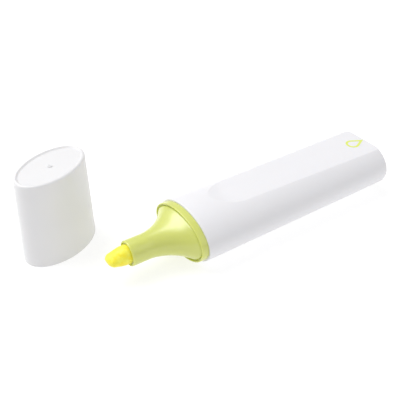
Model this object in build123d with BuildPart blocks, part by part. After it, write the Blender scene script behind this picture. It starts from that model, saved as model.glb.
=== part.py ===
from build123d import *
import os
from math import acos, cos, radians, sin, tan

os.makedirs("parts", exist_ok=True)

# Wide oval highlighter lying on its belly, its pull-off cap standing on its mouth beside the nib.
# Millimetres. +Z is up, +X runs toward the tail, -X toward the nib. The origin is in the middle
# of the flat rest strip under the barrel.

# Barrel
barrel_length = 74.9
barrel_width = 27.0
barrel_thickness = 17.0
tail_width_ratio = 0.927        # width at the tail over width at the mouth
wall = 1.2
tail_edge_radius = 1.0
mouth_edge_radius = 0.25
belly_depth = 0.15              # how much the rest strip takes off the oval
rib_thickness = 1.0
rib_spacing = 5.0
tail_stop = 2.5                 # height of the cross the reservoir bears on

# Flat panel on the barrel's top
panel_front = 13.2              # mouth to the foremost point of the panel's flat
panel_reference = 17.0          # where the front depth is taken
panel_depth_front = 1.02
panel_depth_tail = 1.7
scoop_length = 6.0
scoop_half_width = 7.0
scoop_draft = 60.0              # slope of the scooped front end, degrees

# Nose
neck_length = 2.3
rim_width = 0.5
rim_radius = 0.22
trough_width = 0.22
trough_depth = 0.6
flare_end = 14.2                # mouth to where the flare meets the round snout
flare_stations = 12
flare_power_width = 1.9
flare_power_thickness = 1.5
flare_lip = 0.8                 # how far the flare's foot turns out to the trough
flare_lip_power = 6
snout_radius = 4.0
snout_end = 20.2
snout_edge_radius = 0.4
snout_lip = 0.55
snout_recess = 0.35
nose_wall = 1.0
skirt_length = 8.0
bead_length = 0.9
bead_height = 0.25
bead_position = 5.0

# Nib and ink reservoir
nib_radius = 3.0
nib_reach = 27.0                # mouth to the nib's foremost point
nib_insertion = 10.0            # length of nib inside the reservoir
chisel_length = 4.6
chisel_edge = 2.0               # thickness left at the writing edge
chisel_slant = 0.6              # how far one end of the edge lies behind the other
chisel_corner_radius = 1.6
collar_wall = 0.8
reservoir_setback = 1.0         # reservoir's front face behind the barrel's mouth
film_thickness = 0.2

# Cap
cap_top_wall = 0.8
cap_overhang_width = 0.20       # cap's mouth beyond the barrel, each side
cap_overhang_thickness = 0.22
cap_top_inset_width = 0.85      # mouth to top taper, each side
cap_top_inset_thickness = 0.90
cap_wall = 0.7
cap_recess = 0.4
cap_rim_width = 1.0
cap_edge_radius = 0.35
gate_radius = 0.7
gate_height = 0.15
sleeve_wall = 0.7
sleeve_overlap = 5.2            # length of snout inside the sleeve when the cap is on
socket_wall = 0.8
socket_length = 5.0
cap_centre = (-67.2, 26.4)
cap_turn = 23.1                 # degrees from +X to the cap's wide axis

# Printed mark on the panel
mark_from_tail = 4.1
mark_size = 7.4
mark_line = 0.8
mark_thickness = 0.06

# Fits, each side
skirt_clearance = 0.03
nib_clearance = 0.04
nib_tip_clearance = 0.4
rib_clearance = 0.05
cap_clearance = 0.05
seal_clearance = 0.02
socket_clearance = 0.03

# Derived places and sizes
axis_height = barrel_thickness / 2 - belly_depth
half_width, half_thickness = barrel_width / 2, barrel_thickness / 2
tail_half_width = half_width * tail_width_ratio
mouth = (-barrel_length / 2, 0, axis_height)
pen = Plane(origin=mouth, x_dir=(0, -1, 0), z_dir=(-1, 0, 0))
pen_side = Plane(origin=mouth, x_dir=(-1, 0, 0), z_dir=(0, 1, 0))
pen_plan = Plane(origin=mouth, x_dir=(-1, 0, 0), z_dir=(0, 0, 1))

panel_run = barrel_length - panel_reference
scoop_centre = panel_front - panel_reference + scoop_length
scoop_rise = half_thickness / 4
panel_drop = panel_depth_tail - panel_depth_front
panel = Plane(
    origin=(
        panel_reference - barrel_length / 2,
        0,
        axis_height + half_thickness - panel_depth_front,
    ),
    x_dir=(panel_run, 0, -panel_drop),
    z_dir=(panel_drop, 0, panel_run),
)

film_radius = half_thickness - panel_depth_tail - wall - rib_clearance
core_radius = film_radius - film_thickness
reservoir_end = barrel_length - wall - tail_stop
straight_bore = skirt_length + skirt_clearance
skirt_half_width = half_width - wall - skirt_clearance
skirt_half_thickness = half_thickness - wall - skirt_clearance

cap_mouth_half_width = half_width + cap_overhang_width
cap_mouth_half_thickness = half_thickness + cap_overhang_thickness
cap_inside = nib_reach + nib_tip_clearance
cap_height = cap_inside + cap_top_wall + cap_recess
neck_share = neck_length / cap_height
neck_half_width = (
    cap_mouth_half_width - cap_top_inset_width * neck_share - cap_wall - cap_clearance
)
neck_half_thickness = (
    cap_mouth_half_thickness - cap_top_inset_thickness * neck_share - cap_wall - cap_clearance
)
trough_floor = neck_length - trough_depth
flare_half_width = neck_half_width - rim_width - trough_width
flare_half_thickness = neck_half_thickness - rim_width - trough_width
collar_radius = nib_radius + nib_clearance + collar_wall
sleeve_start = snout_end - sleeve_overlap
sleeve_inner_radius = snout_radius + seal_clearance
sleeve_outer_radius = sleeve_inner_radius + sleeve_wall


def flare(share):
    """Half-width and half-thickness of the flare, share 1 at its base and 0 at the snout."""
    lip = flare_lip * share**flare_lip_power
    spread_width = flare_half_width - flare_lip - snout_radius
    spread_thickness = flare_half_thickness - flare_lip - snout_radius
    return (
        snout_radius + spread_width * share**flare_power_width + lip,
        snout_radius + spread_thickness * share**flare_power_thickness + lip,
    )


def cap_section(height):
    """Outer half-width and half-thickness of the cap at a height above its mouth."""
    share = height / cap_height
    return (
        cap_mouth_half_width - cap_top_inset_width * share,
        cap_mouth_half_thickness - cap_top_inset_thickness * share,
    )


# Space inside the barrel: an oval bore with a flat ceiling under the panel, less the four ribs
# and the tail cross that hold the reservoir.
with BuildPart() as barrel_hollow:
    with BuildSketch(pen):
        Ellipse(half_width - wall, half_thickness - wall)
    extrude(amount=-straight_bore)
    for depth, section_half_width in ((straight_bore, half_width), (barrel_length, tail_half_width)):
        with BuildSketch(pen.offset(-depth)):
            Ellipse(section_half_width - wall, half_thickness - wall)
    loft(ruled=True)
    with BuildSketch(panel.offset(-wall)):
        with Locations((panel_front - panel_reference - wall, 0)):
            Rectangle(2 * barrel_length, 2 * barrel_width, align=(Align.MIN, Align.CENTER))
    extrude(amount=barrel_thickness, mode=Mode.SUBTRACT)
    with BuildSketch(pen.offset(wall - barrel_length)):
        Rectangle(2 * barrel_width, 2 * barrel_thickness)
    extrude(amount=-2 * wall, mode=Mode.SUBTRACT)
    with BuildSketch(pen.offset(-skirt_length - wall)):
        for side in (-1, 1):
            for level in (-rib_spacing / 2, rib_spacing / 2):
                with Locations((side * (film_radius + rib_clearance + half_width), level)):
                    Rectangle(2 * half_width, rib_thickness)
    extrude(amount=-barrel_length, mode=Mode.SUBTRACT)
    with BuildSketch(pen.offset(-reservoir_end)):
        Rectangle(2 * film_radius, rib_thickness)
        Rectangle(rib_thickness, 4 * film_radius)
    extrude(amount=-2 * tail_stop, mode=Mode.SUBTRACT)
    with BuildSketch(pen.offset(-bead_position + bead_length / 2 + skirt_clearance)):
        Ellipse(skirt_half_width + bead_height + skirt_clearance,
                skirt_half_thickness + bead_height + skirt_clearance)
    extrude(amount=-bead_length - 2 * skirt_clearance)

# What the panel takes off the barrel: a scooped oval front end running into a flat
with BuildPart() as panel_cut:
    for rise in (0, scoop_rise):
        spread = rise * tan(radians(scoop_draft))
        with BuildSketch(panel.offset(rise)):
            with Locations((scoop_centre, 0)):
                Ellipse(scoop_length + spread, scoop_half_width + spread)
    loft(ruled=True)
    with BuildSketch(panel):
        with Locations((scoop_centre, 0)):
            Rectangle(2 * barrel_length, 2 * barrel_width, align=(Align.MIN, Align.CENTER))
    extrude(amount=scoop_rise)

# Printed mark: plain ink-drop outline near the tail, pressed in level with the panel
drop_radius = mark_size * 0.32
drop_reach = mark_size - drop_radius
with BuildPart() as ink_mark:
    with BuildSketch(panel):
        with Locations((panel_run - mark_from_tail - mark_size / 2 + drop_radius, 0)):
            for inset, mode in ((0, Mode.ADD), (mark_line, Mode.SUBTRACT)):
                radius = drop_radius - inset
                reach = drop_reach * radius / drop_radius
                touch = acos(radius / reach)
                tangent_x, tangent_y = radius * cos(touch), radius * sin(touch)
                with BuildSketch(mode=Mode.PRIVATE) as drop:
                    with BuildLine():
                        Line((reach, 0), (tangent_x, tangent_y))
                        ThreePointArc((tangent_x, tangent_y), (-radius, 0), (tangent_x, -tangent_y))
                        Line((tangent_x, -tangent_y), (reach, 0))
                    make_face()
                add(drop.sketch, mode=mode)
    extrude(amount=-mark_thickness)
ink_mark.part.label = "ink_mark"
export_step(ink_mark.part, "parts/ink_mark.step")

# Barrel: tapered oval shell, closed at the tail, with a shallow pocket for the mark
with BuildPart() as barrel:
    for depth, section_half_width in ((0, half_width), (barrel_length, tail_half_width)):
        with BuildSketch(pen.offset(-depth)):
            Ellipse(section_half_width, half_thickness)
    loft(ruled=True)
    fillet(barrel.faces().sort_by(Axis.X)[0].edges(), mouth_edge_radius)
    add(panel_cut.part, mode=Mode.SUBTRACT)
    with BuildSketch(Plane.XY):
        Rectangle(2 * barrel_length, 2 * barrel_width)
    extrude(amount=-belly_depth * 2, mode=Mode.SUBTRACT)
    fillet(barrel.faces().sort_by(Axis.X)[-1].edges(), tail_edge_radius)
    add(barrel_hollow.part, mode=Mode.SUBTRACT)
    add(ink_mark.part, mode=Mode.SUBTRACT)
barrel.part.label = "barrel"
export_step(barrel.part, "parts/barrel.step")

# Space inside the nose: oval behind the neck, following the flare in front of it
with BuildPart() as nose_hollow:
    with BuildSketch(pen.offset(-skirt_length)):
        Ellipse(skirt_half_width - nose_wall, skirt_half_thickness - nose_wall)
    extrude(amount=skirt_length)
    for station in range(flare_stations // 2 + 1):
        share = 1 - station / flare_stations
        depth = (1 - share) * (flare_end - trough_floor)
        flare_width, flare_thickness = flare(share)
        with BuildSketch(pen.offset(depth)):
            Ellipse(flare_width - nose_wall, flare_thickness - nose_wall)
    loft(ruled=True)

# Nose: skirt inside the barrel, neck and rim, flared cone and round snout
with BuildPart() as nose:
    with BuildSketch(pen):
        Ellipse(neck_half_width, neck_half_thickness)
    extrude(amount=neck_length)
    with BuildSketch(pen.offset(neck_length)):
        Ellipse(neck_half_width - rim_width, neck_half_thickness - rim_width)
    extrude(amount=-trough_depth, mode=Mode.SUBTRACT)
    fillet(nose.faces().sort_by(Axis.X)[0].edges(), rim_radius)
    for station in range(flare_stations + 1):
        share = 1 - station / flare_stations
        flare_width, flare_thickness = flare(share)
        with BuildSketch(pen.offset(flare_end - share * (flare_end - trough_floor))):
            Ellipse(flare_width, flare_thickness)
    loft()
    with BuildSketch(pen.offset(flare_end)):
        Circle(snout_radius)
    extrude(amount=snout_end - flare_end)
    fillet(nose.faces().sort_by(Axis.X)[0].edges(), snout_edge_radius)
    with BuildSketch(pen):
        Ellipse(skirt_half_width, skirt_half_thickness)
    extrude(amount=-skirt_length)
    with BuildSketch(pen.offset(-bead_position + bead_length / 2)):
        Ellipse(skirt_half_width + bead_height, skirt_half_thickness + bead_height)
    extrude(amount=-bead_length)
    add(nose_hollow.part, mode=Mode.SUBTRACT)
    with BuildSketch(pen.offset(-reservoir_setback)):
        Circle(collar_radius)
    extrude(amount=flare_end + reservoir_setback)
    with BuildSketch(pen.offset(snout_end)):
        Circle(snout_radius - snout_lip)
    extrude(amount=-snout_recess, mode=Mode.SUBTRACT)
    with BuildSketch(pen.offset(snout_end)):
        Circle(nib_radius + nib_clearance)
    extrude(amount=-snout_end - skirt_length, mode=Mode.SUBTRACT)
nose.part.label = "nose"
export_step(nose.part, "parts/nose.step")

# Nib: fibre rod cut to a slanted chisel
with BuildPart() as nib:
    with BuildSketch(pen.offset(-reservoir_setback - nib_insertion)):
        Circle(nib_radius)
    extrude(amount=nib_reach + reservoir_setback + nib_insertion)
    with BuildSketch(pen_side):
        with BuildLine():
            Polyline(
                (-2 * nib_reach, -nib_radius),
                (nib_reach - chisel_length, -nib_radius),
                (nib_reach, -chisel_edge / 2),
                (nib_reach, chisel_edge / 2),
                (nib_reach - chisel_length, nib_radius),
                (-2 * nib_reach, nib_radius),
                close=True,
            )
        make_face()
    extrude(amount=2 * nib_radius, both=True, mode=Mode.INTERSECT)
    with BuildSketch(pen_plan) as chisel_outline:
        with BuildLine():
            Polyline(
                (-2 * nib_reach, nib_radius),
                (nib_reach, nib_radius),
                (nib_reach - chisel_slant, -nib_radius),
                (-2 * nib_reach, -nib_radius),
                close=True,
            )
        make_face()
        fillet(chisel_outline.vertices().sort_by(Axis.X)[-2:], chisel_corner_radius)
    extrude(amount=2 * nib_radius, both=True, mode=Mode.INTERSECT)
nib.part.label = "nib"
export_step(nib.part, "parts/nib.step")

# Reservoir: bonded fibre rod with a pocket for the nib
with BuildPart() as reservoir:
    with BuildSketch(pen.offset(-reservoir_setback)):
        Circle(core_radius)
    extrude(amount=reservoir_setback - reservoir_end)
    with BuildSketch(pen.offset(-reservoir_setback)):
        Circle(nib_radius)
    extrude(amount=-nib_insertion, mode=Mode.SUBTRACT)
reservoir.part.label = "reservoir"
export_step(reservoir.part, "parts/reservoir.step")

# Reservoir film: thin wrap round the rod, open at both ends
with BuildPart() as reservoir_film:
    with BuildSketch(pen.offset(-reservoir_setback)):
        Circle(film_radius)
        Circle(core_radius, mode=Mode.SUBTRACT)
    extrude(amount=reservoir_setback - reservoir_end)
reservoir_film.part.label = "reservoir_film"
export_step(reservoir_film.part, "parts/reservoir_film.step")

# Cap shell, standing on its mouth: tapered oval cup with a rimmed, slightly sunk top
standing = Plane(
    origin=(cap_centre[0], cap_centre[1], 0),
    x_dir=(cos(radians(cap_turn)), sin(radians(cap_turn)), 0),
    z_dir=(0, 0, 1),
)
with BuildPart() as cap_shell:
    for height in (0, cap_height):
        with BuildSketch(standing.offset(height)):
            Ellipse(*cap_section(height))
    loft(ruled=True)
    top_width, top_thickness = cap_section(cap_height)
    with BuildSketch(standing.offset(cap_height)):
        Ellipse(top_width - cap_rim_width, top_thickness - cap_rim_width)
    extrude(amount=-cap_recess, mode=Mode.SUBTRACT)
    fillet(cap_shell.faces().sort_by(Axis.Z)[-1].edges(), cap_edge_radius)
    with BuildSketch(standing.offset(cap_height - cap_recess)):
        Circle(gate_radius)
    extrude(amount=gate_height)
    for height in (0, cap_inside):
        section_half_width, section_half_thickness = cap_section(height)
        with BuildSketch(standing.offset(height)):
            Ellipse(section_half_width - cap_wall, section_half_thickness - cap_wall)
    loft(ruled=True, mode=Mode.SUBTRACT)
    with BuildSketch(standing.offset(cap_inside)):
        Circle(sleeve_outer_radius + socket_clearance + socket_wall)
        Circle(sleeve_outer_radius + socket_clearance, mode=Mode.SUBTRACT)
    extrude(amount=-socket_length)
cap_shell.part.label = "cap_shell"
export_step(cap_shell.part, "parts/cap_shell.step")

# Cap sleeve: round seal that closes on the snout when the cap is on
with BuildPart() as cap_sleeve:
    with BuildSketch(standing.offset(sleeve_start)):
        Circle(sleeve_outer_radius)
        Circle(sleeve_inner_radius, mode=Mode.SUBTRACT)
    extrude(amount=cap_inside - sleeve_start)
cap_sleeve.part.label = "cap_sleeve"
export_step(cap_sleeve.part, "parts/cap_sleeve.step")
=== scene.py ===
"""Wide oval highlighter lying on its belly, its pull-off cap standing on its mouth beside the nib.

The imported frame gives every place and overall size. This script models the barrel, the printed mark,
the nose, the nib and the cap anew as finer pieces, dresses the three inner pieces that keep their
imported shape, and sets a plain pale studio round the object. Lengths are in metres.
"""
import logging
import math
from dataclasses import dataclass, field, replace
from enum import Enum
from typing import List, Sequence, Tuple, Union

import bpy
from mathutils import Matrix, Vector


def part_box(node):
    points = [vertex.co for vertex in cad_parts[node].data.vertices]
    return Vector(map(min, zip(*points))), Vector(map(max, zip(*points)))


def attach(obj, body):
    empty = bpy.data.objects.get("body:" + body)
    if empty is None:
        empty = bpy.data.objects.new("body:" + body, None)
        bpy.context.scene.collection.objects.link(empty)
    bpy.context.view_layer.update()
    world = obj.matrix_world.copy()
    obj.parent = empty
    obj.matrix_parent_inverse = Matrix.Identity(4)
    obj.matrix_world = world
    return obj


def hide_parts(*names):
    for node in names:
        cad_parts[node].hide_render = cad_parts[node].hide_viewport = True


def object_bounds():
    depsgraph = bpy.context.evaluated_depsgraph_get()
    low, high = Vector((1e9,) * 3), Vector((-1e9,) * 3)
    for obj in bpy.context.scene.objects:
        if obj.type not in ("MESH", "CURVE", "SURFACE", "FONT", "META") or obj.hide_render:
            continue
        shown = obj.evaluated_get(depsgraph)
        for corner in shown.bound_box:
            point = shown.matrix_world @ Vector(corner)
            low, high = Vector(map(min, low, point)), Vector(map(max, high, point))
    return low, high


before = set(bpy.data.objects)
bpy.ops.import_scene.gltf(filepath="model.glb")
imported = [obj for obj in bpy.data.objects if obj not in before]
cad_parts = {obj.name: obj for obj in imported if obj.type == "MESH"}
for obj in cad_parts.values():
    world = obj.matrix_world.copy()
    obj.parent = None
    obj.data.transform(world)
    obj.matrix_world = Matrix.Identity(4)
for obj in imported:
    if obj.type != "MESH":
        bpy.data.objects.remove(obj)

Colour = Tuple[float, float, float]
LOG = logging.getLogger("highlighter")
MM = 0.001
CAD_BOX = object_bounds()


class Coordinates(Enum):
    """Where a finish takes its pattern from."""

    OBJECT = "Object"


class NodeTree:
    """A short hand for wiring one material's nodes."""

    def __init__(self, name: str) -> None:
        """Start an empty material.

        Args:
            name: The material's name.
        """
        self.material = bpy.data.materials.new(name)
        self.material.use_nodes = True
        self.tree = self.material.node_tree
        self.tree.nodes.clear()
        self.output = self.add("ShaderNodeOutputMaterial")
        self.shader = self.add("ShaderNodeBsdfPrincipled")
        self.link(self.shader, "BSDF", self.output, "Surface")

    def add(self, kind: str, **values: object) -> bpy.types.Node:
        """Add a node and set its properties.

        Args:
            kind: Blender's node type name.
            **values: Properties to set on the node.

        Returns:
            The new node.
        """
        node = self.tree.nodes.new(kind)
        for key, value in values.items():
            setattr(node, key, value)
        return node

    def link(self, source: bpy.types.Node, output: str, target: bpy.types.Node, put: str) -> None:
        """Wire one node's output to another's input.

        Args:
            source: Node the wire starts at.
            output: Name of its output.
            target: Node the wire ends at.
            put: Name of its input.
        """
        self.tree.links.new(source.outputs[output], target.inputs[put])

    def coordinates(self, stretch: Sequence[float] = (1.0, 1.0, 1.0)) -> bpy.types.Node:
        """Object coordinates in metres, stretched along the axes.

        Args:
            stretch: Factor along X, Y and Z.

        Returns:
            A mapping node with a Vector output.
        """
        place = self.add("ShaderNodeTexCoord")
        mapping = self.add("ShaderNodeMapping")
        mapping.inputs["Scale"].default_value = stretch
        self.link(place, Coordinates.OBJECT.value, mapping, "Vector")
        return mapping

    def noise(self, mapping: bpy.types.Node, scale: float, detail: float = 3.0,
              roughness: float = 0.5) -> bpy.types.Node:
        """A noise texture on a mapping.

        Args:
            mapping: Node with the Vector output to read.
            scale: Noise scale per metre.
            detail: Octaves.
            roughness: How strong the finer octaves are.

        Returns:
            The noise node.
        """
        node = self.add("ShaderNodeTexNoise")
        node.inputs["Scale"].default_value = scale
        node.inputs["Detail"].default_value = detail
        node.inputs["Roughness"].default_value = roughness
        self.link(mapping, "Vector", node, "Vector")
        return node

    def ramp(self, source: bpy.types.Node, low: float, high: float, start: float = 0.3,
             end: float = 0.7) -> bpy.types.Node:
        """Map a noise to a range of values.

        Args:
            source: Noise node.
            low: Value at the start.
            high: Value at the end.
            start: Noise value that gives low.
            end: Noise value that gives high.

        Returns:
            A map range node with a Result output.
        """
        node = self.add("ShaderNodeMapRange")
        for name, value in (("From Min", start), ("From Max", end), ("To Min", low), ("To Max", high)):
            node.inputs[name].default_value = value
        self.link(source, "Fac", node, "Value")
        return node

    def tint(self, source: bpy.types.Node, first: Colour, second: Colour, start: float = 0.35,
             end: float = 0.65) -> None:
        """Blend the base colour between two tints by a noise.

        Args:
            source: Noise node.
            first: Colour at the start.
            second: Colour at the end.
            start: Noise value that gives the first colour.
            end: Noise value that gives the second colour.
        """
        ramp = self.add("ShaderNodeValToRGB")
        ramp.color_ramp.elements[0].position = start
        ramp.color_ramp.elements[0].color = (*first, 1.0)
        ramp.color_ramp.elements[1].position = end
        ramp.color_ramp.elements[1].color = (*second, 1.0)
        self.link(source, "Fac", ramp, "Fac")
        self.link(ramp, "Color", self.shader, "Base Color")

    def bump(self, layers: Sequence[Tuple[bpy.types.Node, float]]) -> None:
        """Stack bump layers onto the shader's normal.

        Args:
            layers: Pairs of a noise node and the bump's depth in metres.
        """
        previous = None
        for source, depth in layers:
            node = self.add("ShaderNodeBump")
            node.inputs["Strength"].default_value = 1.0
            node.inputs["Distance"].default_value = depth
            self.link(source, "Fac", node, "Height")
            if previous is not None:
                self.link(previous, "Normal", node, "Normal")
            previous = node
        if previous is not None:
            self.link(previous, "Normal", self.shader, "Normal")


@dataclass(frozen=True)
class MouldedPlastic:
    """Injection-moulded polypropylene: soft gloss, faint orange peel and a fine mould grain."""

    name: str
    light: Colour
    dark: Colour
    roughness_low: float = 0.3
    roughness_high: float = 0.38
    flow_stretch: Tuple[float, float, float] = (0.25, 1.0, 1.0)
    flow_scale: float = 60.0
    handling_scale: float = 150.0
    peel_scale: float = 260.0
    peel_depth: float = 0.000006
    grain_scale: float = 1800.0
    grain_depth: float = 0.000001
    subsurface: float = 0.15
    subsurface_colour_radius: Tuple[float, float, float] = (1.0, 0.9, 0.8)
    subsurface_scale: float = 0.0015
    specular: float = 0.5
    coat: float = 0.0

    def build(self) -> bpy.types.Material:
        """Make the material.

        Returns:
            The new material.
        """
        nodes = NodeTree(self.name)
        even = nodes.coordinates()
        along = nodes.coordinates(self.flow_stretch)
        flow = nodes.noise(along, self.flow_scale, detail=2.0)
        peel = nodes.noise(even, self.peel_scale, detail=2.0)
        grain = nodes.noise(even, self.grain_scale, detail=4.0, roughness=0.6)
        handling = nodes.noise(even, self.handling_scale, detail=3.0)
        nodes.tint(flow, self.dark, self.light)
        rough = nodes.ramp(handling, self.roughness_low, self.roughness_high)
        nodes.link(rough, "Result", nodes.shader, "Roughness")
        nodes.bump(((peel, self.peel_depth), (grain, self.grain_depth)))
        shader = nodes.shader.inputs
        shader["Specular IOR Level"].default_value = self.specular
        shader["Coat Weight"].default_value = self.coat
        shader["Coat Roughness"].default_value = self.roughness_low
        shader["Subsurface Weight"].default_value = self.subsurface
        shader["Subsurface Radius"].default_value = self.subsurface_colour_radius
        shader["Subsurface Scale"].default_value = self.subsurface_scale
        return nodes.material


@dataclass(frozen=True)
class InkedFibre:
    """Bonded polyester fibre running along the pen, wet with fluorescent ink."""

    name: str
    wet: Colour
    dry: Colour
    fibre_stretch: Tuple[float, float, float] = (0.12, 1.0, 1.0)
    fibre_scale: float = 2600.0
    fibre_depth: float = 0.00006
    clump_scale: float = 700.0
    clump_share: float = 0.6
    roughness_low: float = 0.42
    roughness_high: float = 0.7
    sheen: float = 0.25
    subsurface: float = 0.2
    subsurface_colour_radius: Tuple[float, float, float] = (1.0, 0.9, 0.2)
    subsurface_scale: float = 0.001

    def build(self) -> bpy.types.Material:
        """Make the material.

        Returns:
            The new material.
        """
        nodes = NodeTree(self.name)
        along = nodes.coordinates(self.fibre_stretch)
        even = nodes.coordinates()
        fibre = nodes.noise(along, self.fibre_scale, detail=3.0, roughness=0.6)
        clump = nodes.noise(even, self.clump_scale, detail=3.0, roughness=0.5)
        nodes.tint(clump, self.wet, self.dry)
        rough = nodes.ramp(fibre, self.roughness_low, self.roughness_high)
        nodes.link(rough, "Result", nodes.shader, "Roughness")
        nodes.bump(((clump, self.fibre_depth * self.clump_share), (fibre, self.fibre_depth)))
        shader = nodes.shader.inputs
        shader["Sheen Weight"].default_value = self.sheen
        shader["Subsurface Weight"].default_value = self.subsurface
        shader["Subsurface Radius"].default_value = self.subsurface_colour_radius
        shader["Subsurface Scale"].default_value = self.subsurface_scale
        return nodes.material


@dataclass(frozen=True)
class FloorFinish:
    """Matt studio paper, lit from within so that it stays white."""

    name: str = "studio_paper"
    colour: Colour = (0.34, 0.34, 0.34)
    roughness: float = 0.9
    glow_colour: Colour = (1.0, 1.0, 1.0)
    glow: float = 0.74

    def build(self) -> bpy.types.Material:
        """Make the material.

        Returns:
            The new material.
        """
        nodes = NodeTree(self.name)
        shader = nodes.shader.inputs
        shader["Base Color"].default_value = (*self.colour, 1.0)
        shader["Roughness"].default_value = self.roughness
        shader["Emission Color"].default_value = (*self.glow_colour, 1.0)
        shader["Emission Strength"].default_value = self.glow
        return nodes.material


Finish = Union[MouldedPlastic, InkedFibre]

WHITE = MouldedPlastic("white_polypropylene", (0.785, 0.78, 0.805), (0.77, 0.765, 0.79))
CAP_WHITE = MouldedPlastic("cap_polypropylene", (0.775, 0.77, 0.78), (0.76, 0.755, 0.765))
LIME = MouldedPlastic("lime_polypropylene", (0.64, 0.68, 0.16), (0.61, 0.65, 0.145), subsurface=0.3,
                      subsurface_colour_radius=(1.0, 1.0, 0.25), roughness_low=0.28,
                      roughness_high=0.34, specular=0.8, coat=0.4)
PRINT = MouldedPlastic("lime_print", (0.72, 0.8, 0.16), (0.66, 0.74, 0.14), subsurface=0.0)
SEAL = MouldedPlastic("natural_seal", (0.74, 0.74, 0.7), (0.68, 0.68, 0.64))
FILM = MouldedPlastic("clear_film", (0.8, 0.8, 0.74), (0.74, 0.74, 0.68), roughness_low=0.12,
                      roughness_high=0.2)
NIB_FIBRE = InkedFibre("inked_nib_fibre", (0.93, 0.8, 0.02), (0.97, 0.92, 0.1))
CORE_FIBRE = InkedFibre("inked_core_fibre", (0.8, 0.74, 0.1), (0.88, 0.84, 0.3))


@dataclass(frozen=True)
class Station:
    """One oval section of a lofted shell, at a place along the loft."""

    along: float
    half_width: float
    half_thickness: float


@dataclass(frozen=True)
class Place:
    """The flat frame a shell is lofted in."""

    origin: Vector
    across: Vector
    up: Vector

    def matrix(self) -> Matrix:
        """The frame as a matrix, its third axis square to the other two.

        Returns:
            The matrix from the flat frame to the object's.
        """
        turn = Matrix((self.across, self.up, self.across.cross(self.up))).transposed()
        return Matrix.Translation(self.origin) @ turn.to_4x4()


FLAT = Place(Vector(), Vector((1.0, 0.0, 0.0)), Vector((0.0, 1.0, 0.0)))


def arc(along: float, out: float, radius: float, start: float, end: float,
        steps: int = 6) -> List[Tuple[float, float]]:
    """Points of a rounded corner in a shell's profile.

    Args:
        along: Centre's place along the loft.
        out: Centre's place outward from the reference surface.
        radius: Radius of the corner.
        start: Start angle in degrees, 0 along the loft and 90 outward.
        end: End angle in degrees.
        steps: Number of parts.

    Returns:
        Pairs of place along and place outward.
    """
    turns = [math.radians(start + (end - start) * k / steps) for k in range(steps + 1)]
    return [(along + radius * math.cos(turn), out + radius * math.sin(turn)) for turn in turns]


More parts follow.
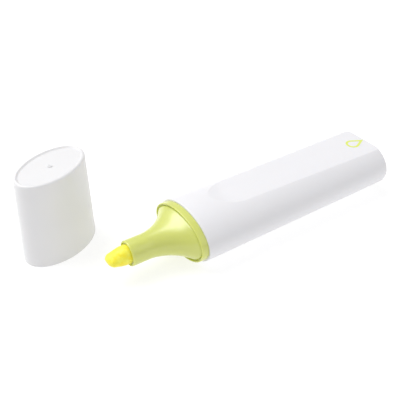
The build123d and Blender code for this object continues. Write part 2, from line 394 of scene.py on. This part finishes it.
class Workshop:
    """Shared modelling moves, all through Blender's own operators."""

    @staticmethod
    def pick(piece: bpy.types.Object) -> None:
        """Select one object alone and make it active.

        Args:
            piece: Object to select.
        """
        if bpy.context.mode != "OBJECT":
            bpy.ops.object.mode_set(mode="OBJECT")
        bpy.ops.object.select_all(action="DESELECT")
        piece.select_set(True)
        bpy.context.view_layer.objects.active = piece

    @staticmethod
    def loft(name: str, stations: Sequence[Station], place: Place, segments: int = 128,
             closed: bool = False, smooth_angle: float = 30.0) -> bpy.types.Object:
        """Extrude an oval ring through its stations and close the shell.

        Args:
            name: Name of the piece.
            stations: Sections in order along the surface.
            place: Frame the stations are measured in.
            segments: Corners of the ring.
            closed: True joins the last ring to the first, False fills both ends.
            smooth_angle: Edges bent more than this many degrees stay sharp.

        Returns:
            The finished object.
        """
        first = stations[0]
        bpy.ops.object.select_all(action="DESELECT")
        bpy.ops.mesh.primitive_circle_add(vertices=segments, radius=1.0, fill_type="NOTHING")
        piece = bpy.context.active_object
        piece.name = piece.data.name = name
        bpy.ops.object.mode_set(mode="EDIT")
        bpy.ops.mesh.select_all(action="SELECT")
        bpy.ops.transform.resize(value=(first.half_width, first.half_thickness, 1.0),
                                 center_override=(0.0, 0.0, 0.0))
        bpy.ops.transform.translate(value=(0.0, 0.0, first.along))
        for last, now in zip(stations, stations[1:]):
            bpy.ops.mesh.extrude_region_move(
                TRANSFORM_OT_translate={"value": (0.0, 0.0, now.along - last.along)})
            bpy.ops.transform.resize(
                value=(now.half_width / last.half_width,
                       now.half_thickness / last.half_thickness, 1.0),
                center_override=(0.0, 0.0, now.along))
        bpy.ops.mesh.select_all(action="DESELECT")
        bpy.ops.mesh.select_mode(type="EDGE")
        bpy.ops.mesh.select_non_manifold()
        if closed:
            bpy.ops.mesh.bridge_edge_loops()
        else:
            bpy.ops.mesh.fill_holes(sides=0)
        bpy.ops.mesh.select_mode(type="VERT")
        bpy.ops.mesh.select_all(action="DESELECT")
        bpy.ops.object.mode_set(mode="OBJECT")
        piece.data.transform(place.matrix())
        Workshop.face_out(piece)
        Workshop.smooth(piece, smooth_angle)
        return piece

    @staticmethod
    def face_out(piece: bpy.types.Object) -> None:
        """Point every face outwards.

        Args:
            piece: Object to mend.
        """
        Workshop.pick(piece)
        bpy.ops.object.mode_set(mode="EDIT")
        bpy.ops.mesh.select_all(action="SELECT")
        bpy.ops.mesh.normals_make_consistent(inside=False)
        bpy.ops.object.mode_set(mode="OBJECT")

    @staticmethod
    def smooth(piece: bpy.types.Object, angle: float) -> None:
        """Shade smooth up to an angle.

        Args:
            piece: Object to shade.
            angle: Edges bent more than this many degrees stay sharp.
        """
        Workshop.pick(piece)
        bpy.ops.object.shade_smooth_by_angle(angle=math.radians(angle))

    @staticmethod
    def take_away(piece: bpy.types.Object, tool: bpy.types.Object) -> None:
        """Cut a closed tool's shape out of a piece and delete the tool.

        Args:
            piece: Object that is cut.
            tool: Closed object to take away.
        """
        Workshop.pick(piece)
        modifier = piece.modifiers.new("cut", "BOOLEAN")
        modifier.operation, modifier.solver, modifier.object = "DIFFERENCE", "EXACT", tool
        bpy.ops.object.modifier_apply(modifier=modifier.name)
        bpy.data.objects.remove(tool)

    @staticmethod
    def finish(piece: bpy.types.Object, finish: Finish, body: str, slot: str,
               nodes: Sequence[str] = ()) -> None:
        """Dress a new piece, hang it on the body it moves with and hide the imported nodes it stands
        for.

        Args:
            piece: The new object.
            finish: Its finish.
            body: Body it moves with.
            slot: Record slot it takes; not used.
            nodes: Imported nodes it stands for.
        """
        piece.data.materials.clear()
        piece.data.materials.append(finish.build())
        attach(piece, body)
        if nodes:
            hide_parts(*nodes)
        LOG.info("modelled %s with %d faces", piece.name, len(piece.data.polygons))


@dataclass
class PenAxis:
    """Where the pen lies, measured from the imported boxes."""

    mouth_x: float = field(init=False)
    length: float = field(init=False)
    height: float = field(init=False)
    half_width: float = field(init=False)
    half_thickness: float = field(init=False)

    def __post_init__(self) -> None:
        """Read the boxes of the barrel and the nib."""
        low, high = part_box("barrel")
        nib_low, nib_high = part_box("nib")
        self.mouth_x, self.length = low[0], high[0] - low[0]
        self.height = (nib_low[2] + nib_high[2]) / 2
        self.half_width = (high[1] - low[1]) / 2
        self.half_thickness = high[2] - self.height

    def place(self) -> Place:
        """Frame at the barrel's mouth: across, up, and along toward the nib.

        Returns:
            The frame.
        """
        return Place(Vector((self.mouth_x, 0.0, self.height)), Vector((0.0, -1.0, 0.0)),
                     Vector((0.0, 0.0, 1.0)))


PEN = PenAxis()


@dataclass
class Barrel:
    """White oval shell with a flat top panel and a narrow rest strip below."""

    wall: float = 1.2 * MM
    tail_width_ratio: float = 0.927
    mouth_radius: float = 0.22 * MM
    tail_radius: float = 1.0 * MM
    skirt_seat: float = 9.0 * MM          # depth of the full-width bore that takes the nose
    ceiling_gap: float = 0.05 * MM
    segments: int = 160
    rings: int = 12
    tail_rings: int = 10
    sharp_angle: float = 11.0             # degrees, keeps the panel's edge crisp
    panel_front: float = 13.2 * MM        # mouth to the foot of the scooped end
    panel_reference: float = 17.0 * MM    # where the front depth is taken
    panel_depth_front: float = 1.02 * MM
    panel_depth_tail: float = 1.7 * MM
    scoop_length: float = 6.0 * MM
    scoop_half_width: float = 7.0 * MM
    scoop_top: float = 4.0 * MM
    scoop_steepest: float = 11.5          # degrees, halfway up the scooped end
    scoop_mean: float = 0.64              # mean slope as a share of the steepest
    scoop_ease: float = 3.0               # steepest slope over the slope past the lip
    scoop_set_back: float = 2.2 * MM      # moves the foot back, as the slope is a long one
    scoop_steps: int = 16
    scoop_segments: int = 128
    pull_from: float = 0.01               # share of the scoop's length left where it is
    pull_widening: float = 1.5            # keeps the pulled sides clear of the barrel

    def panel_slope(self) -> float:
        """How much the panel drops toward the tail.

        Returns:
            Drop for each unit along the pen.
        """
        return (self.panel_depth_tail - self.panel_depth_front) / (PEN.length - self.panel_reference)

    def section(self, along: float, out: float) -> Station:
        """A section of the tapered oval.

        Args:
            along: Place along the pen, zero at the mouth and negative toward the tail.
            out: Distance outward from the outer surface.

        Returns:
            The section.
        """
        taper = 1.0 + (1.0 - self.tail_width_ratio) * along / PEN.length
        return Station(along, PEN.half_width * taper + out, PEN.half_thickness + out)

    def stations(self) -> List[Station]:
        """Sections from the tail end of the hollow, out round the mouth and back to the tail.

        Returns:
            The sections in order.
        """
        mouth, tail, length = self.mouth_radius, self.tail_radius, PEN.length
        film_low, film_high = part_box("reservoir_film")
        ceiling = (film_high[2] - film_low[2]) / 2 + self.ceiling_gap
        # the hollow's ceiling sits just above the ink reservoir, clear of the panel's cut
        hollow = [replace(self.section(along, -self.wall), half_thickness=ceiling)
                  for along in (self.wall - length, -self.skirt_seat - self.wall)]
        profile = [(-self.skirt_seat, -self.wall)]
        profile += arc(-mouth, mouth - self.wall, mouth, -90, 0)
        profile += arc(-mouth, -mouth, mouth, 0, 90)
        profile += [(-length * ring / self.rings, 0.0) for ring in range(1, self.rings)]
        profile += arc(tail - length, -tail, tail, 90, 180, self.tail_rings)
        # the face inside this last small ring closes the tail
        profile += [(-length, -3 * tail)]
        return hollow + [self.section(*point) for point in profile]

    def scoop_profile(self) -> List[Tuple[float, float]]:
        """Rise and spread of the scooped end, gentle at its foot and again at its lip.

        Returns:
            Pairs of rise above the panel and spread beyond the scoop's foot.
        """
        steepest = math.radians(self.scoop_steepest)
        run = self.panel_depth_front / self.scoop_steps / math.tan(steepest * self.scoop_mean)
        profile = [(0.0, 0.0)]
        for step in range(self.scoop_steps):
            swell = math.sin(math.pi * (step + 0.5) / self.scoop_steps)
            rise, spread = profile[-1]
            profile.append((rise + run * math.tan(steepest * swell), spread + run))
        rise, spread = profile[-1]
        last_run = (self.scoop_top - rise) / math.tan(steepest / self.scoop_ease)
        profile.append((self.scoop_top, spread + last_run))
        return profile

    def panel_tool(self) -> bpy.types.Object:
        """What the panel takes off: a scooped oval end pulled out into a long flat.

        Returns:
            The closed tool.
        """
        along = Vector((1.0, 0.0, -self.panel_slope())).normalized()
        origin = Vector((PEN.mouth_x + self.panel_reference, 0.0,
                         PEN.height + PEN.half_thickness - self.panel_depth_front))
        centre = origin + along * (self.panel_front - self.panel_reference + self.scoop_length
                                   + self.scoop_set_back)
        place = Place(centre, along, Vector((0.0, 1.0, 0.0)))
        scoop = [Station(rise, self.scoop_length + spread, self.scoop_half_width + spread)
                 for rise, spread in self.scoop_profile()]
        tool = Workshop.loft("panel_tool", scoop, FLAT, segments=self.scoop_segments)
        # the half toward the tail is picked and drawn out far past the tail
        Workshop.pick(tool)
        bpy.ops.object.mode_set(mode="EDIT")
        bpy.ops.mesh.select_all(action="DESELECT")
        bpy.ops.object.mode_set(mode="OBJECT")
        for corner in tool.data.vertices:
            corner.select = corner.co.x > self.scoop_length * self.pull_from
        bpy.ops.object.mode_set(mode="EDIT")
        bpy.ops.transform.translate(value=(2 * PEN.length, 0.0, 0.0))
        bpy.ops.transform.resize(value=(1.0, self.pull_widening, 1.0),
                                 center_override=(0.0, 0.0, 0.0))
        bpy.ops.object.mode_set(mode="OBJECT")
        tool.data.transform(place.matrix())
        return tool

    def strip_tool(self) -> bpy.types.Object:
        """The block below the table that the rest strip's flat leaves behind.

        Returns:
            The closed tool.
        """
        bpy.ops.object.select_all(action="DESELECT")
        bpy.ops.mesh.primitive_cube_add(size=1.0)
        tool = bpy.context.active_object
        bpy.ops.object.mode_set(mode="EDIT")
        bpy.ops.mesh.select_all(action="SELECT")
        bpy.ops.transform.resize(value=(2 * PEN.length, 4 * PEN.half_width, PEN.half_width))
        bpy.ops.transform.translate(value=(0.0, 0.0, -PEN.half_width / 2))
        bpy.ops.object.mode_set(mode="OBJECT")
        return tool

    def build(self) -> None:
        """Model the shell, then cut its panel and its rest strip."""
        shell = Workshop.loft("barrel_shell", self.stations(), PEN.place(), segments=self.segments)
        Workshop.take_away(shell, self.panel_tool())
        Workshop.take_away(shell, self.strip_tool())
        Workshop.smooth(shell, self.sharp_angle)
        Workshop.finish(shell, WHITE, "pen", "white_plastic", ["barrel"])


@dataclass
class Nose:
    """Lime plug: skirt inside the barrel, neck with a rounded rim, flared cone and snout."""

    skirt_length: float = 8.0 * MM
    skirt_gap: float = 0.03 * MM
    neck_length: float = 2.3 * MM
    rim_width: float = 0.5 * MM
    rim_radius: float = 0.22 * MM
    trough_width: float = 0.46 * MM
    trough_depth: float = 0.6 * MM
    foot_drop: float = 0.12 * MM          # flare's foot below the rim's front
    flare_end: float = 14.2 * MM
    flare_rings: int = 30
    flare_spacing: float = 1.3            # above 1 packs the rings toward the foot
    flare_power_width: float = 1.9
    flare_power_thickness: float = 1.5
    flare_lip: float = 0.8 * MM           # how far the foot turns out to the groove
    flare_lip_power: float = 6.0
    snout_radius: float = 4.0 * MM
    snout_edge: float = 0.4 * MM
    lip: float = 0.55 * MM                # snout's outside to where its end turns in
    lip_depth: float = 0.35 * MM          # bore's front edge behind the snout's end
    lip_radius: float = 0.08 * MM
    bore_gap: float = 0.04 * MM
    wall: float = 1.0 * MM
    collar_wall: float = 0.8 * MM
    collar_back: float = 1.0 * MM

    def stations(self) -> List[Station]:
        """Sections over the outside to the snout, then back through the bore and the skirt.

        Returns:
            The sections in order.
        """
        low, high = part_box("nose")
        nib_low, nib_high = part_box("nib")
        neck = Station(0.0, (high[1] - low[1]) / 2, (high[2] - low[2]) / 2)
        snout_end = PEN.mouth_x - low[0]
        bore = (nib_high[2] - nib_low[2]) / 2 + self.bore_gap
        collar = bore + self.collar_wall
        skirt = (PEN.half_width - Barrel.wall - self.skirt_gap,
                 PEN.half_thickness - Barrel.wall - self.skirt_gap)
        front, rim, edge = self.neck_length, self.rim_width, self.rim_radius
        pocket = self.trough_width / 2
        profile = [(0.0, 0.0)]
        profile += arc(front - edge, -edge, edge, 90, 0)
        profile += arc(front - edge, edge - rim, edge, 0, -90)
        # round the bottom of the groove between the rim and the flare's foot
        profile += arc(front - self.trough_depth + pocket, -rim - pocket, pocket, 90, 250, 8)
        result = [Station(-self.skirt_length, *skirt), Station(0.0, *skirt)]
        result += [Station(along, neck.half_width + out, neck.half_thickness + out)
                   for along, out in profile]
        base_width = neck.half_width - rim - self.trough_width
        base_thickness = neck.half_thickness - rim - self.trough_width
        base = front - self.foot_drop
        spread_width = base_width - self.flare_lip - self.snout_radius
        spread_thickness = base_thickness - self.flare_lip - self.snout_radius
        for ring in range(1, self.flare_rings + 1):
            share = 1.0 - (ring / self.flare_rings) ** self.flare_spacing
            foot = self.snout_radius + self.flare_lip * share ** self.flare_lip_power
            result.append(Station(
                self.flare_end - share * (self.flare_end - base),
                foot + spread_width * share ** self.flare_power_width,
                foot + spread_thickness * share ** self.flare_power_thickness))
        tip = arc(snout_end - self.snout_edge, self.snout_radius - self.snout_edge,
                  self.snout_edge, 90, 0)
        tip += arc(snout_end - self.lip_depth, self.snout_radius - self.lip, self.lip_radius,
                   90, 200, 4)
        tip += [(snout_end - self.lip_depth, bore), (-self.collar_back, bore),
                (-self.collar_back, collar), (self.trough_depth, collar)]
        result += [Station(along, radius, radius) for along, radius in tip]
        inner = (skirt[0] - self.wall, skirt[1] - self.wall)
        result += [Station(self.trough_depth, *inner), Station(-self.skirt_length, *inner)]
        return result

    def build(self) -> None:
        """Model the nose."""
        nose = Workshop.loft("nose_plug", self.stations(), PEN.place(), segments=128, closed=True,
                             smooth_angle=40.0)
        Workshop.finish(nose, LIME, "pen", "lime_plastic", ["nose"])


@dataclass
class Nib:
    """Soft fibre nib: a round rod worn to a blunt chisel."""

    back: float = 11.0 * MM               # mouth to the nib's hidden end
    chisel: float = 5.2 * MM
    straight_rings: int = 36
    chisel_rings: int = 30
    edge_half_thickness: float = 1.45 * MM
    edge_half_width: float = 2.45 * MM
    end_round: float = 1.5 * MM
    end_width_share: float = 0.35         # width left at the tip, over the edge's width
    end_half_thickness: float = 0.08 * MM
    narrowing_power: float = 1.5          # above 1 narrows the sides late
    blunt_share: float = 0.4              # share of the thinning that eases in and out
    fibre_relief: float = 0.05 * MM
    fibre_size: float = 0.35 * MM

    def stations(self) -> List[Station]:
        """Sections from the back end to the rounded writing edge.

        Returns:
            The sections in order.
        """
        low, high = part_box("nib")
        radius = (high[2] - low[2]) / 2 - self.fibre_relief
        reach = PEN.mouth_x - low[0] - self.fibre_relief
        start = reach - self.chisel
        result = [Station(-self.back + (start + self.back) * ring / self.straight_rings,
                          radius, radius) for ring in range(self.straight_rings)]
        for ring in range(self.chisel_rings):
            share = ring / self.chisel_rings
            along = start + self.chisel * math.sin(math.pi / 2 * share)
            ahead = (along - start) / self.chisel
            ease = ahead * ahead * (3 - 2 * ahead)
            half_width = radius + (self.edge_half_width - radius) * ahead ** self.narrowing_power
            thinning = (1 - self.blunt_share) * ahead + self.blunt_share * ease
            half_thickness = radius + (self.edge_half_thickness - radius) * thinning
            rest = max(0.0, (along - (reach - self.end_round)) / self.end_round)
            bow = math.sqrt(max(0.0, 1.0 - rest * rest))
            width_share = self.end_width_share + (1 - self.end_width_share) * bow
            result.append(Station(along, half_width * width_share,
                                  half_thickness * bow + self.end_half_thickness))
        return result

    def build(self) -> None:
        """Model the nib and raise its fibre relief."""
        nib = Workshop.loft("fibre_nib", self.stations(), PEN.place(), segments=96,
                            smooth_angle=60.0)
        texture = bpy.data.textures.new("fibre_relief", "CLOUDS")
        texture.noise_scale = self.fibre_size
        Workshop.pick(nib)
        modifier = nib.modifiers.new("relief", "DISPLACE")
        modifier.texture, modifier.texture_coords = texture, "LOCAL"
        modifier.strength, modifier.mid_level = self.fibre_relief, 0.5
        bpy.ops.object.modifier_apply(modifier=modifier.name)
        Workshop.finish(nib, NIB_FIBRE, "pen", "inked_fibre", ["nib"])


@dataclass
class Cap:
    """White tapered oval cup with a rimmed, slightly sunk top, standing on its mouth."""

    turn: float = 23.1
    overhang_width: float = 0.20 * MM
    overhang_thickness: float = 0.22 * MM
    top_inset_width: float = 0.85 * MM
    top_inset_thickness: float = 0.90 * MM
    wall: float = 0.7 * MM
    top_wall: float = 0.8 * MM
    recess: float = 0.4 * MM
    rim_width: float = 1.0 * MM
    rim_radius: float = 0.35 * MM
    edge_radius: float = 0.7 * MM
    recess_run: float = 0.45 * MM
    mouth_radius: float = 0.18 * MM
    inner_radius: float = 0.6 * MM
    segments: int = 160
    rings: int = 8
    socket_wall: float = 0.8 * MM
    socket_length: float = 5.0 * MM
    socket_gap: float = 0.03 * MM
    socket_edge: float = 0.15 * MM
    gate_radius: float = 0.8 * MM         # the moulding mark in the middle of the top
    gate_height: float = 0.2 * MM
    # rise over the mark's height and radius over its radius: a ring round a small raised point
    gate_profile: Tuple[Tuple[float, float], ...] = (
        (0.0, 1.0), (0.7, 0.93), (1.0, 0.82), (0.9, 0.7),
        (0.25, 0.58), (0.15, 0.42), (0.7, 0.3), (1.0, 0.18))
    height: float = field(init=False)
    floor: float = field(init=False)
    inside: float = field(init=False)
    place: Place = field(init=False)

    def __post_init__(self) -> None:
        """Read where the cap stands."""
        low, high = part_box("cap_shell")
        turn = math.radians(self.turn)
        self.height = high[2]
        self.floor = self.height - self.recess
        self.inside = self.floor - self.top_wall
        self.place = Place(Vector(((low[0] + high[0]) / 2, (low[1] + high[1]) / 2, 0.0)),
                           Vector((math.cos(turn), math.sin(turn), 0.0)),
                           Vector((-math.sin(turn), math.cos(turn), 0.0)))

    def section(self, along: float, out: float) -> Station:
        """A section of the tapered oval.

        Args:
            along: Height above the mouth.
            out: Distance outward from the outer surface.

        Returns:
            The section.
        """
        share = along / self.height
        return Station(along,
                       PEN.half_width + self.overhang_width - self.top_inset_width * share + out,
                       PEN.half_thickness + self.overhang_thickness
                       - self.top_inset_thickness * share + out)

    def shell(self) -> None:
        """Model the cup from its ceiling, round the mouth and over the rim to the sunk top."""
        inner, mouth, rim, edge = (self.inner_radius, self.mouth_radius, self.rim_radius,
                                   self.edge_radius)
        top = self.height
        profile = arc(self.inside - inner, -self.wall - inner, inner, 0, 90)
        profile += arc(mouth, mouth - self.wall, mouth, 270, 180)
        profile += arc(mouth, -mouth, mouth, 180, 90)
        profile += [(top * ring / self.rings, 0.0) for ring in range(1, self.rings)]
        profile += arc(top - edge, -edge, edge, 90, 0, 8)
        profile += arc(top - rim, rim - self.rim_width, rim, 0, -45, 5)
        foot = -self.rim_width - self.recess_run
        profile += arc(self.floor + rim, foot, rim, 145, 180, 5)
        # the face inside this last ring is the middle of the sunk top
        profile += [(self.floor, -3 * self.rim_width)]
        shell = Workshop.loft("cap_cup", [self.section(*point) for point in profile], self.place,
                              segments=self.segments, smooth_angle=35.0)
        Workshop.finish(shell, CAP_WHITE, "cap", "white_plastic", ["cap_shell"])

    def socket(self) -> None:
        """Model the ring under the ceiling that holds the sealing sleeve."""
        low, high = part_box("cap_sleeve")
        inner = (high[0] - low[0]) / 2 + self.socket_gap
        outer, foot = inner + self.socket_wall, self.inside - self.socket_length
        edge = self.socket_edge
        profile = [(self.inside, inner), (foot + edge, inner)]
        profile += arc(foot + edge, inner + edge, edge, 270, 180, 3)
        profile += arc(foot + edge, outer - edge, edge, 180, 90, 3)
        profile += [(self.inside, outer)]
        stations = [Station(along, radius, radius) for along, radius in profile]
        socket = Workshop.loft("cap_socket", stations, self.place, segments=64, closed=True)
        Workshop.finish(socket, CAP_WHITE, "cap", "white_plastic")

    def gate_mark(self) -> None:
        """Model the small moulding mark left in the middle of the top."""
        radius, height = self.gate_radius, self.gate_height
        stations = [Station(self.floor + height * rise, radius * share, radius * share)
                    for rise, share in self.gate_profile]
        mark = Workshop.loft("cap_gate_mark", stations, self.place, segments=48,
                             smooth_angle=60.0)
        Workshop.finish(mark, CAP_WHITE, "cap", "white_plastic")

    def build(self) -> None:
        """Model the cap's pieces."""
        self.shell()
        self.socket()
        self.gate_mark()


@dataclass
class InkMark:
    """Plain ink-drop outline printed on the panel near the tail."""

    line: float = 0.8 * MM
    sink: float = 0.03 * MM
    rise: float = 0.015 * MM
    corners: int = 96

    def outline(self, radius: float, reach: float) -> bpy.types.Object:
        """A drop-shaped loop: a circle whose front corners are drawn out to a point.

        Args:
            radius: Radius of the round end.
            reach: From the round end's centre to the point.

        Returns:
            The loop, with no face.
        """
        # lines from the point touch the round end at this angle either side of the front
        touch = math.acos(radius / reach)
        bpy.ops.object.select_all(action="DESELECT")
        bpy.ops.mesh.primitive_circle_add(vertices=self.corners, radius=radius,
                                          fill_type="NOTHING")
        loop = bpy.context.active_object
        for corner in loop.data.vertices:
            turn = math.atan2(corner.co.y, corner.co.x)
            if abs(turn) < touch:
                share = abs(turn) / touch
                corner.co.x = reach + (radius * math.cos(touch) - reach) * share
                corner.co.y = math.copysign(radius * math.sin(touch) * share, turn)
        return loop

    def build(self) -> None:
        """Join an outer and an inner drop into one line and raise it off the panel."""
        low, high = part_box("ink_mark")
        radius, length = (high[1] - low[1]) / 2, high[0] - low[0]
        shrink = (radius - self.line) / radius
        inner = self.outline(radius * shrink, (length - radius) * shrink)
        mark = self.outline(radius, length - radius)
        mark.name = mark.data.name = "printed_drop"
        inner.select_set(True)
        bpy.ops.object.join()
        bpy.ops.object.mode_set(mode="EDIT")
        bpy.ops.mesh.select_all(action="SELECT")
        bpy.ops.mesh.bridge_edge_loops()
        bpy.ops.mesh.select_all(action="SELECT")
        bpy.ops.mesh.extrude_region_move(
            TRANSFORM_OT_translate={"value": (0.0, 0.0, self.sink + self.rise)})
        bpy.ops.object.mode_set(mode="OBJECT")
        slope = Barrel().panel_slope()
        along = Vector((1.0, 0.0, -slope)).normalized()
        centre = Vector((low[0] + radius, 0.0, high[2] - self.sink - slope * radius))
        place = Place(centre, along, Vector((0.0, 1.0, 0.0)))
        mark.data.transform(place.matrix())
        Workshop.face_out(mark)
        Workshop.finish(mark, PRINT, "pen", "lime_print", ["ink_mark"])


@dataclass
class CarriedPiece:
    """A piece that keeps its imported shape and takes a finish."""

    node: str
    finish: Finish

    def dress(self) -> None:
        """Give the piece its finish."""
        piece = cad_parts[self.node]
        piece.data.materials.clear()
        piece.data.materials.append(self.finish.build())
        LOG.info("dressed %s", self.node)


@dataclass(frozen=True)
class SoftBox:
    """One soft square light that points at the object."""

    name: str
    place: Tuple[float, float, float]
    side: float
    power: float

    def hang(self) -> None:
        """Hang the light in its place."""
        data = bpy.data.lights.new(self.name, "AREA")
        data.shape, data.size, data.energy = "SQUARE", self.side, self.power
        lamp = bpy.data.objects.new(self.name, data)
        lamp.location = self.place
        lamp.rotation_mode = "QUATERNION"
        lamp.rotation_quaternion = (-Vector(self.place)).to_track_quat("-Z", "Y")
        bpy.context.scene.collection.objects.link(lamp)


SOFT_BOXES = (SoftBox("key", (-0.35, 0.5, 0.9), 0.8, 10.0),
              SoftBox("fill", (0.5, -0.7, 0.6), 0.8, 1.3))


@dataclass
class Studio:
    """Pale floor, soft lights and the camera."""

    azimuth: float = -34.7
    elevation: float = 35.16
    distance: float = 0.24
    aim_from_centre: Tuple[float, float, float] = (0.00242, 0.00729, -0.013)
    lens: float = 63.6
    sensor: float = 36.0
    nearest: float = 0.01
    farthest: float = 20.0
    floor_size: float = 6.0
    floor_drop: float = 0.02 * MM
    room_light: float = 0.55

    def floor(self) -> None:
        """Lay the floor under the object."""
        bpy.ops.object.select_all(action="DESELECT")
        bpy.ops.mesh.primitive_plane_add(size=self.floor_size, location=(0, 0, -self.floor_drop))
        plane = bpy.context.active_object
        plane.name = "studio_floor"
        plane.data.materials.append(FloorFinish().build())

    def world(self) -> None:
        """Fill the room with even light."""
        world = bpy.data.worlds.new("studio_room")
        world.use_nodes = True
        background = world.node_tree.nodes["Background"]
        background.inputs["Color"].default_value = (1.0, 1.0, 1.0, 1.0)
        background.inputs["Strength"].default_value = self.room_light
        bpy.context.scene.world = world

    def camera(self) -> None:
        """Set the camera where the object is seen from its nib end, a little above."""
        azimuth, elevation = math.radians(self.azimuth), math.radians(self.elevation)
        back = Vector((math.sin(azimuth) * math.cos(elevation),
                       -math.cos(azimuth) * math.cos(elevation), math.sin(elevation)))
        low, high = CAD_BOX
        aim = (low + high) / 2 + Vector(self.aim_from_centre)
        data = bpy.data.cameras.new("studio_camera")
        data.lens, data.sensor_width = self.lens, self.sensor
        data.clip_start, data.clip_end = self.nearest, self.farthest
        camera = bpy.data.objects.new("studio_camera", data)
        camera.rotation_mode = "QUATERNION"
        camera.location = aim + back * self.distance
        camera.rotation_quaternion = (-back).to_track_quat("-Z", "Y")
        bpy.context.scene.collection.objects.link(camera)
        bpy.context.scene.camera = camera

    def build(self) -> None:
        """Set up the whole studio."""
        self.floor()
        self.world()
        for box in SOFT_BOXES:
            box.hang()
        self.camera()
        bpy.context.scene.view_settings.view_transform = "Standard"


def main() -> None:
    """Build every piece and the studio."""
    for builder in (Barrel(), InkMark(), Nose(), Nib(), Cap()):
        builder.build()
    for piece in (
        CarriedPiece("reservoir", CORE_FIBRE),
        CarriedPiece("reservoir_film", FILM),
        CarriedPiece("cap_sleeve", SEAL),
    ):
        piece.dress()
    Studio().build()


if __name__ == "__main__":
    logging.basicConfig(level=logging.INFO)
    main()
